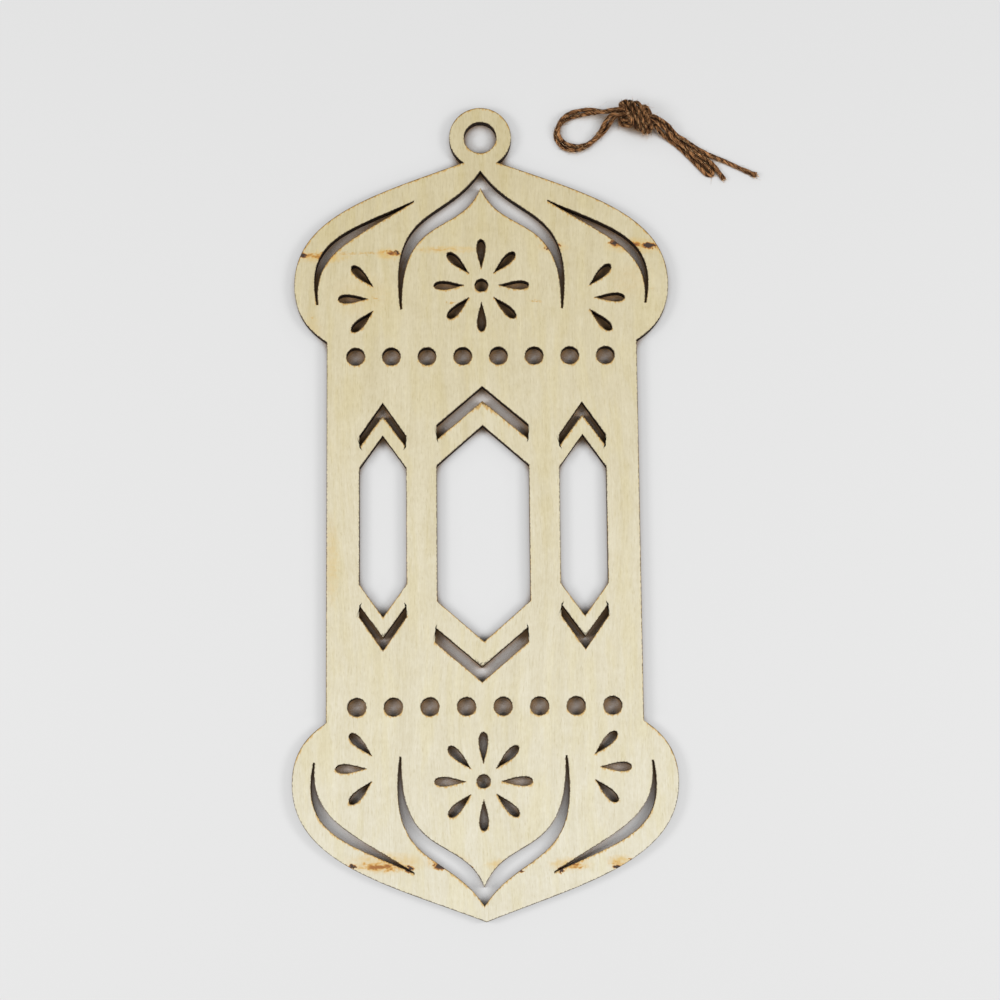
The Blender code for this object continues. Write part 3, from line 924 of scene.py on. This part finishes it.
give(grain, {"Tone": ramp(grain, tone, *TONE_RANGE, smooth=False),
             "Yellow": ramp(grain, noises["yellow"], *YELLOW_RANGE),
             "Relief": scaled(grain, noises["pores"], -PORE_DEPTH, noises["strands"])})
print("grain group:", len(grain.nodes), "nodes")

# %% [markdown]
# ## Scorch and stains
#
# Two more groups.  One turns the stored nearness into a scorch: a thin dark line along the
# edge, and short streaks that reach further into the wood where the smoke drifted.  The
# other is one soft spot of smoke at a given place, with a ragged rim.

# %% The scorch group
# widths and reaches are shares of SCORCH_REACH, and a soft edge is shares of a width
STREAK_RANGE, DOT_RANGE, DRIFT_RANGE = (0.42, 0.66), (0.40, 0.58), (-0.15, 0.75)
LINE_IN_DOTS, LINE_WOBBLE, LINE_EDGE = 0.16, 0.16, (0.35, 1.15)
SMOKE_IN_STREAKS, SMOKE_WOBBLE, SMOKE_LEAST, SMOKE_EDGE = 0.60, 0.55, 0.02, (0.25, 1.1)
SMOKE_DRIFTED, SMOKE_EVERYWHERE = 0.92, 0.07
scorch = new_group("laser_scorch", ["Place"], ["Strength"], ["Line", "Smoke"])
start = scorch.nodes.new("NodeGroupInput").outputs
edge_near = add_node(scorch, "Attribute", attribute_name="edge_near").outputs["Fac"]
edge_drift = add_node(scorch, "Attribute", attribute_name="edge_drift").outputs["Fac"]
wobble = stretched_noise(scorch, start["Place"], (1.1, 1.1, 1.1))
streaks = ramp(scorch, stretched_noise(scorch, start["Place"], (2.4, 0.5, 1.0), detail=3.0),
               *STREAK_RANGE)
dots = ramp(scorch, stretched_noise(scorch, start["Place"], (2.6, 2.6, 2.6), detail=1.0),
            *DOT_RANGE)
drifted = ramp(scorch, edge_drift, *DRIFT_RANGE)
inward = sum_node(scorch, "SUBTRACT", 1.0, edge_near)

# the dark line is up to 0.25 mm wide, and it breaks up into dots
width = scaled(scorch, dots, LINE_IN_DOTS, scaled(scorch, wobble, LINE_WOBBLE))
line = ramp(scorch, sum_node(scorch, "DIVIDE", inward, width), *LINE_EDGE)
# the smoke reaches up to 1 mm, in streaks along the grain
reach = scaled(scorch, wobble, SMOKE_WOBBLE, SMOKE_LEAST)
reach = scaled(scorch, streaks, SMOKE_IN_STREAKS, reach)
reach = scaled(scorch, scaled(scorch, reach, drifted), SMOKE_DRIFTED, SMOKE_EVERYWHERE)
smoke = ramp(scorch, sum_node(scorch, "DIVIDE", inward, reach), *SMOKE_EDGE)
smoke = scaled(scorch, sum_node(scorch, "SUBTRACT", 1.0, smoke), start["Strength"])
give(scorch, {"Line": sum_node(scorch, "SUBTRACT", 1.0, line), "Smoke": smoke})

# %% The smoke spot group
SPOT_CORE = 0.25
spot = new_group("smoke_spot", ["Place", "Centre", "Reach"], [], ["Mask"])
start = spot.nodes.new("NodeGroupInput").outputs
away = vector_sum(spot, "SUBTRACT", start["Place"], start["Centre"])
away = vector_sum(spot, "DIVIDE", away, start["Reach"])
away = add_node(spot, "VectorMath", {0: away}, operation="LENGTH").outputs["Value"]
give(spot, {"Mask": sum_node(spot, "SUBTRACT", 1.0, ramp(spot, away, SPOT_CORE, 1.0))})


THROUGH = 1.0e4    # so large that a spot is the same all through the sheet


def spots_mask(tree, place, spots, streaky):
    """The strongest of several spots: x, y, half length, half height and strength."""
    strongest = None
    for x, y, half_x, half_y, strength in spots:
        mask = add_group(tree, spot, {"Place": place, "Centre": (x, y, 0.0),
                                      "Reach": (half_x, half_y, THROUGH)})["Mask"]
        mask = scaled(tree, mask, strength)
        strongest = mask if strongest is None else sum_node(tree, "MAXIMUM", strongest, mask)
    return scaled(tree, strongest, streaky)


print("scorch group:", len(scorch.nodes), "nodes, spot group:", len(spot.nodes), "nodes")

# %% [markdown]
# ## Marks of the cutting bed
#
# The sheet lay on a slatted bed while it was cut.  Where the beam crossed a slat, smoke came
# back up and left small dark marks, in one row under the crown and one above the foot.
# Each mark is a place, a half length and a half height, in millimetres on the drawing, and a
# strength.

# %% Places of the marks
DARK_MARKS = [(-40.6, 63.5, 1.3, 0.7, 0.95), (-35.4, 64.0, 0.8, 0.5, 0.9),
              (-19.2, 64.1, 0.8, 0.5, 0.9), (15.2, 64.7, 0.8, 0.6, 1.0),
              (17.6, 65.6, 0.7, 0.45, 0.7), (30.6, 65.8, 1.7, 0.9, 0.85),
              (38.4, 65.2, 2.6, 0.9, 0.95), (-29.2, -74.5, 1.2, 0.7, 1.0),
              (-16.8, -75.2, 1.2, 1.2, 0.95), (-10.0, -74.6, 2.6, 1.0, 0.8),
              (-3.6, -74.9, 0.8, 0.6, 1.0), (3.0, -75.1, 0.9, 0.6, 0.85),
              (7.6, -75.7, 0.8, 0.6, 0.8), (16.3, -75.7, 0.9, 1.1, 1.0),
              (28.6, -75.1, 1.2, 0.7, 0.95), (31.6, -73.6, 0.8, 0.5, 0.7)]
BROWN_MARKS = [(-23.0, -74.6, 7.8, 1.5, 0.72), (19.6, -74.8, 2.6, 0.9, 0.75),
               (-10.2, -74.3, 3.4, 1.4, 0.6), (29.0, -74.6, 2.6, 1.2, 0.6),
               (-37.0, 63.4, 5.0, 0.9, 0.8), (-20.2, 63.9, 2.6, 0.9, 0.9),
               (33.5, 65.4, 5.5, 1.3, 0.9), (16.4, 65.0, 2.2, 0.9, 0.8),
               (-24.2, 53.3, 0.8, 0.5, 0.5), (-6.8, 52.1, 1.7, 0.45, 0.45),
               (12.2, 52.4, 2.1, 0.45, 0.45), (-38.2, 48.9, 0.7, 0.5, 0.5),
               (38.6, 55.2, 1.6, 0.35, 0.5), (-30.0, 63.9, 12.5, 0.45, 0.4),
               (-12.0, 64.6, 11.0, 0.45, 0.35)]
YELLOW_PATCHES = [(-34.0, -7.0, 2.4, 13.0, 0.35), (-36.0, 63.0, 8.0, 1.8, 0.8),
                  (-21.0, 63.6, 4.0, 1.8, 0.9), (-27.0, 54.0, 9.0, 7.0, 0.2),
                  (-8.0, 64.6, 12.0, 1.2, 0.55), (16.5, 65.0, 4.0, 1.8, 0.8),
                  (35.0, 65.2, 8.0, 2.4, 0.9), (34.0, 57.0, 6.0, 6.0, 0.2),
                  (-22.0, -73.8, 11.0, 3.0, 0.8), (-8.5, -73.6, 6.0, 2.4, 0.7),
                  (3.0, -74.4, 4.0, 1.6, 0.6), (18.5, -74.4, 6.0, 2.0, 0.8),
                  (29.5, -74.0, 4.0, 2.0, 0.8), (-38.5, 44.0, 3.0, 9.0, 0.25)]
print(len(DARK_MARKS) + len(BROWN_MARKS), "marks and", len(YELLOW_PATCHES), "patches")


# %% Wood that heat has browned
YELLOWED = colour(216, 182, 108)
HEAT_YELLOW = colour(246, 212, 146)
HEAT_BROWN = colour(150, 92, 40)
CHAR_BROWN = colour(46, 28, 15)
HEAT_STEPS = ((0.0, 0.45, HEAT_YELLOW, "MULTIPLY"), (0.25, 0.70, HEAT_BROWN, "MIX"),
              (0.60, 0.92, CHAR_BROWN, "MIX"))


def toasted(tree, heat, surface):
    """Wood goes from yellow through brown to black as the heat on it goes from 0 to 1."""
    for low, high, tint, kind in HEAT_STEPS:
        surface = blend(tree, ramp(tree, heat, low, high), surface, tint, kind)
    return surface


# %% The wood, deeper toward the crown, partly by painted shade
YELLOW_TINT = colour(253, 250, 232)
YELLOW_SHARE = 0.55
WOOD_FOOT, WOOD_CROWN = -80.0, 95.0
WOOD_LEAN = -0.18


def wood_with_painted_crown_shade(tree, on_drawing, wood, foot, crown):
    """It turns yellower and deeper from the foot to the crown, a little aslant: partly the
    wood's own yellowing, partly painted shade.
    """
    along = add_node(tree, "SeparateXYZ", {0: on_drawing}).outputs
    height = scaled(tree, along["X"], WOOD_LEAN, along["Y"])
    height = ramp(tree, height, WOOD_FOOT, WOOD_CROWN, smooth=False)
    deep = blend(tree, height, foot[0], crown[0])
    pale = blend(tree, height, foot[1], crown[1])
    surface = blend(tree, wood["Tone"], deep, pale)
    return blend(tree, scaled(tree, wood["Yellow"], YELLOW_SHARE), surface, YELLOW_TINT,
                 kind="MULTIPLY")


# %% The marks of the bed, with torn rims and streaks along the grain
TORN_ACROSS, TORN_ALONG = 3.0, -1.6
MARK_STREAK_RANGE = (0.34, 0.66)
# each kind of mark, how much its streaks add to it, and its strength between them
MARKS = ((YELLOW_PATCHES, 0.5, 0.5), (BROWN_MARKS, 0.7, 0.15), (DARK_MARKS, 0.4, 0.95))


def bed_marks(tree, on_drawing):
    """Three masks: the yellow patches, the brown marks and the dark marks."""
    ragged = stretched_noise(tree, on_drawing, (1.3, 1.3, 1.3), detail=3.0)
    ragged = add_node(tree, "CombineXYZ", {
        "X": scaled(tree, ragged, TORN_ACROSS, -TORN_ACROSS / 2),
        "Y": scaled(tree, ragged, TORN_ALONG, -TORN_ALONG / 2)}).outputs[0]
    torn = vector_sum(tree, "ADD", on_drawing, ragged)
    streaky = stretched_noise(tree, on_drawing, (0.7, 1.3, 1.0), detail=4.0)
    streaky = ramp(tree, streaky, *MARK_STREAK_RANGE)
    return [spots_mask(tree, torn, spots, scaled(tree, streaky, gain, least))
            for spots, gain, least in MARKS]


# %% A face of the panel: the wood with its painted shade toward the crown, then the marks, then the scorch
SEED_SKEW = 7.3
CHAR_SHARE = 0.8
BARE_ROUGHNESS, TONE_ROUGHNESS, CHAR_ROUGHNESS = 0.56, 0.12, 0.2


def veneer_face(name, foot, crown, seed, marked, smoke_strength):
    material, tree, shader = new_material(name)
    place = place_in_mm(tree)
    on_drawing = vector_sum(tree, "ADD", place, (0.0, -BODY_MIDDLE / MM, 0.0))
    seeded = vector_sum(tree, "ADD", place, (seed, SEED_SKEW * seed, 0.0))
    wood = add_group(tree, grain, {"Place": seeded})
    surface = wood_with_painted_crown_shade(tree, on_drawing, wood, foot, crown)
    burn = add_group(tree, scorch, {"Place": seeded, "Strength": smoke_strength})
    smoke = burn["Smoke"]
    if marked:
        yellow, brown, dark = bed_marks(tree, on_drawing)
        surface = blend(tree, yellow, surface, YELLOWED)
        smoke = sum_node(tree, "MAXIMUM", smoke, sum_node(tree, "MAXIMUM", brown, dark))
    surface = toasted(tree, smoke, surface)
    char = scaled(tree, burn["Line"], CHAR_SHARE)
    rough = scaled(tree, wood["Tone"], TONE_ROUGHNESS, BARE_ROUGHNESS)
    feed(tree, shader, {"Base Color": blend(tree, char, surface, CHAR_BROWN),
                        "Roughness": scaled(tree, char, CHAR_ROUGHNESS, rough),
                        "Normal": bump(tree, wood["Relief"], 0.35, 0.03)})
    return material


# the crown's colours are deeper than the foot's, partly as painted shade
FOOT_WOOD = (colour(210, 201, 172), colour(233, 228, 210))
CROWN_WOOD = (colour(196, 181, 138), colour(219, 207, 171))
BACK_WOOD = (colour(186, 166, 122), colour(218, 204, 168))
face_wood = veneer_face("basswood_face", FOOT_WOOD, CROWN_WOOD, 3.0, True, 0.37)
back_wood = veneer_face("basswood_back", BACK_WOOD, BACK_WOOD, 41.0, False, 0.7)
print("face materials ready")

# %% [markdown]
# ## The cut edge
#
# A laser leaves the wall of the cut charred: nearly black, a little browner in the core
# veneer, whose grain runs the other way, with fine upright marks from the pulses of the beam.
# Its colour is the char made darker still by painted shade.


# %% Charred wall, with painted shade
WALL_RANGE = (0.38, 0.66)


def charred_and_shaded_wall(name, light, dark):
    material, tree, shader = new_material(name)
    place = place_in_mm(tree)
    pulses = stretched_noise(tree, place, (5.0, 5.0, 0.5))
    patches = stretched_noise(tree, place, (0.5, 0.5, 1.2))
    tone = scaled(tree, pulses, 0.5, scaled(tree, patches, 0.5))
    feed(tree, shader, {"Base Color": blend(tree, ramp(tree, tone, *WALL_RANGE), dark, light),
                        "Roughness": 0.85, "Specular IOR Level": 0.15,
                        "Normal": bump(tree, pulses, 0.5, 0.05)})
    return material


# both wall colours are the char darkened further by painted shade
outer_wall = charred_and_shaded_wall("char_and_shade_face_ply", colour(38, 25, 15), colour(9, 6, 4))
core_wall = charred_and_shaded_wall("char_and_shade_core_ply", colour(58, 39, 24), colour(14, 9, 6))
print("wall materials ready")

# %% Give each veneer its wood and its charred wall with painted shade
for name, sheet in veneers.items():
    wood = face_wood if name == "front_veneer" else back_wood
    wall = core_wall if name == "core_veneer" else outer_wall
    sheet.data.materials.clear()
    sheet.data.materials.append(wood)
    sheet.data.materials.append(wall)
    upright = [abs(face.normal.z) < 0.5 for face in sheet.data.polygons]
    sheet.data.polygons.foreach_set("material_index", [int(is_wall) for is_wall in upright])
    print(sheet.name, sum(upright), "wall faces")

# %% [markdown]
# ## Jute
#
# The fibre runs along each ply, so its colour is noise drawn out along the twine's own map.
# It goes from dark brown to straw along the fibres.  Painted shade darkens it in the valleys
# between the plies, and where two strands touch, because little light gets in there.


# %% Jute materials
JUTE_DEEP, JUTE_STRAW = colour(52, 30, 16), colour(190, 136, 90)
FIBRE_BROWN, FIBRE_STRAW = colour(96, 60, 32), colour(230, 192, 146)
# one painted shade colour for the twine's valleys and creases
JUTE_PAINTED_SHADE = colour(12, 6, 3)
JUTE_SURFACE = {"Roughness": 0.9, "Specular IOR Level": 0.08}
PLY_RANGE, FIBRE_RANGE, VALLEY_RANGE = (0.45, 0.59), (0.40, 0.60), (0.0, 0.32)
DARKEST_SIDE = 0.3
CREASE_SHARE = 0.85


def wound_jute(name):
    """Fibres drawn out along the twine's map, with painted shade in its valleys and creases."""
    material, tree, shader = new_material(name)
    lie = add_node(tree, "UVMap", uv_map="along_and_round").outputs[0]
    streaks = stretched_noise(tree, lie, (0.45, 10.5, 1.0), detail=4.0, roughness=0.65)
    lengths = stretched_noise(tree, lie, (0.9, 3.0, 1.0))
    # painted shade along the valleys between the plies
    turn = add_node(tree, "SeparateXYZ", {0: lie}).outputs["Y"]
    valley = sum_node(tree, "COSINE", scaled(tree, turn, 2 * math.pi))
    valley = ramp(tree, sum_node(tree, "ABSOLUTE", valley), *VALLEY_RANGE)
    open_side = scaled(tree, valley, 1.0 - DARKEST_SIDE, DARKEST_SIDE)
    tone = scaled(tree, streaks, 0.75, scaled(tree, lengths, 0.25))
    fibre = blend(tree, ramp(tree, tone, *PLY_RANGE), JUTE_DEEP, JUTE_STRAW)
    fibre = blend(tree, open_side, JUTE_PAINTED_SHADE, fibre)
    # painted shade where two strands touch
    crease_here = add_node(tree, "Attribute", attribute_name="crease").outputs["Fac"]
    fibre = blend(tree, scaled(tree, crease_here, CREASE_SHARE), fibre, JUTE_PAINTED_SHADE)
    feed(tree, shader, {"Base Color": fibre, **JUTE_SURFACE,
                        "Normal": bump(tree, streaks, 0.7, 0.12)})
    return material


def loose_jute(name):
    material, tree, shader = new_material(name)
    streaks = stretched_noise(tree, place_in_mm(tree), (1.6, 1.6, 1.6))
    fibre = blend(tree, ramp(tree, streaks, *FIBRE_RANGE), FIBRE_BROWN, FIBRE_STRAW)
    feed(tree, shader, {"Base Color": fibre, **JUTE_SURFACE})
    return material


twine.data.materials.append(wound_jute("jute_plies"))
fibres.data.materials.append(loose_jute("jute_loose_fibre"))
print("jute ready")

# %% [markdown]
# ## Floor and light
#
# The ornament lies on a pale surface.  Two soft lights, half-way up on the left and on the
# right, leave the floor inside the small cuts dark, as in the photograph, while the wide
# windows stay bright, and a faint light from the foot fills the walls that face it.
#
# How open the air is above a point of the floor is measured within 6 mm of it.  Where walls
# stand close, the floor's colour is a warm painted shade, in place of the shade and the light
# that comes back off them, most at the crown and least in the cuts of the foot.  Open floor
# partly glows with its own pale colour, a painted light which keeps its shadows light.

# %% Pale floor
def seen_by_eye(tree):
    """1 for a ray from the camera, off something glossy or through something clear."""
    path = add_node(tree, "LightPath").outputs
    off_or_through = sum_node(tree, "MAXIMUM", path["Is Glossy Ray"],
                              path["Is Transmission Ray"])
    return sum_node(tree, "MAXIMUM", path["Is Camera Ray"], off_or_through)


FLOOR_SIZE = 8.0
FLOOR_DROP = 0.05 * MM
bpy.ops.object.select_all(action="DESELECT")
bpy.ops.mesh.primitive_plane_add(size=FLOOR_SIZE, location=(0.0, 0.0, -FLOOR_DROP))
floor = bpy.context.object
floor.name = "pale_floor"
print("floor", FLOOR_SIZE, "m wide")

# %% How open the air is above the floor, and the warm painted shade on the floor where walls stand close
PALE_FLOOR = colour(231, 231, 231)
FLOOR_PAINT = colour(227, 227, 227)
PAINTED_WARM_SHADE_FOOT = colour(156, 124, 90)
PAINTED_WARM_SHADE_CROWN = colour(138, 108, 76)
PAINTED_SHADE_AIR = (0.34, 0.55)
AIR_REACH = 6.0 * MM
FOOT_FLOWERS = (-50.0 * MM, -46.0 * MM)
LIGHT_AT_FOOT = 0.3
SHADE_AT_CROWN = 0.06
LOW_END, HIGH_END = -80.0 * MM, 60.0 * MM
material, tree, shader = new_material("pale_floor")
open_air = add_node(tree, "AmbientOcclusion", {"Distance": AIR_REACH}, samples=8).outputs["AO"]
place = add_node(tree, "TexCoord").outputs["Object"]
along = add_node(tree, "SeparateXYZ", {0: place}).outputs["Y"]
up_lantern = ramp(tree, along, LOW_END, HIGH_END, smooth=False)
above_flowers = ramp(tree, along, *FOOT_FLOWERS)
# painted light at the foot: the air counts as more open there, so less painted shade and more
# glow
at_foot = scaled(tree, above_flowers, -LIGHT_AT_FOOT, 1.0 + LIGHT_AT_FOOT)
open_air = scaled(tree, open_air, at_foot, clamp=True)
# painted shade: a little more of it toward the crown
walls_near = scaled(tree, up_lantern, -SHADE_AT_CROWN, open_air)
painted_warm_shade = blend(tree, up_lantern, PAINTED_WARM_SHADE_FOOT, PAINTED_WARM_SHADE_CROWN)
feed(tree, shader, {
    "Base Color": blend(tree, ramp(tree, walls_near, *PAINTED_SHADE_AIR), painted_warm_shade, FLOOR_PAINT),
    "Roughness": 0.95, "Specular IOR Level": 0.1})

# %% Its own pale colour far from the lantern, and painted light that lifts the shadows where the air is open
GLOW_AIR = (0.42, 0.62)
GLOW_IN_SHADE = 0.68
SHADOW_LIFT = 0.6
FAR_FLOOR = (0.10, 0.22)
away = add_node(tree, "VectorMath", {0: place}, operation="LENGTH").outputs["Value"]
far = ramp(tree, away, *FAR_FLOOR)
seen = seen_by_eye(tree)
# the glow is dimmer where walls stand close: painted shade within the painted light
strength = scaled(tree, open_air, 1.0 - GLOW_IN_SHADE, GLOW_IN_SHADE)
glow = add_node(tree, "Emission", {"Color": PALE_FLOOR, "Strength": strength}).outputs[0]
# painted light: how much of the floor shows the glow, which lifts its shadows
light = sum_node(tree, "MAXIMUM", far,
                 scaled(tree, ramp(tree, open_air, *GLOW_AIR), SHADOW_LIFT))
mixed = add_node(tree, "MixShader", {0: scaled(tree, light, seen), 1: shader.outputs[0],
                                     2: glow}).outputs[0]
feed(tree, tree.nodes["Material Output"], {"Surface": mixed})
floor.data.materials.append(material)
print("floor material:", len(tree.nodes), "nodes")

# %% World: pale behind the object, a weak even light on it
SKY_LIGHT = 0.18
world = bpy.data.worlds.new("studio")
bpy.context.scene.world = world
world.use_nodes = True
tree = world.node_tree
seen = seen_by_eye(tree)
feed(tree, tree.nodes["Background"], {
    "Color": blend(tree, seen, (1.0, 1.0, 1.0, 1.0), PALE_FLOOR),
    "Strength": scaled(tree, seen, 1.0 - SKY_LIGHT, SKY_LIGHT)})
print("sky light", SKY_LIGHT, "on the object")


# %% Two soft lights from the sides and one from the foot
# each light's place, power in watts, and its width and height in metres
LIGHTS = {"left_light": ((-0.40, -0.06, 0.42), 1.69, 0.18, 0.2),
          "right_light": ((0.40, -0.06, 0.42), 1.69, 0.18, 0.2),
          "foot_light": ((0.0, -0.75, 1.15), 3.6, 0.8, 0.5)}


def soft_light(name, place, power, width, height):
    """A rectangular light that faces the middle of the ornament."""
    bpy.ops.object.light_add(type="AREA", location=place)
    lamp = bpy.context.object
    lamp.name = name
    lamp.data.shape = "RECTANGLE"
    lamp.data.size, lamp.data.size_y = width, height
    lamp.data.energy = power
    lamp.rotation_euler = (-lamp.location).to_track_quat("-Z", "Y").to_euler()


for name, settings in LIGHTS.items():
    soft_light(name, *settings)
print("lights:", list(LIGHTS))

# %% Finish with the standard view transform
bpy.context.scene.view_settings.view_transform = "Standard"
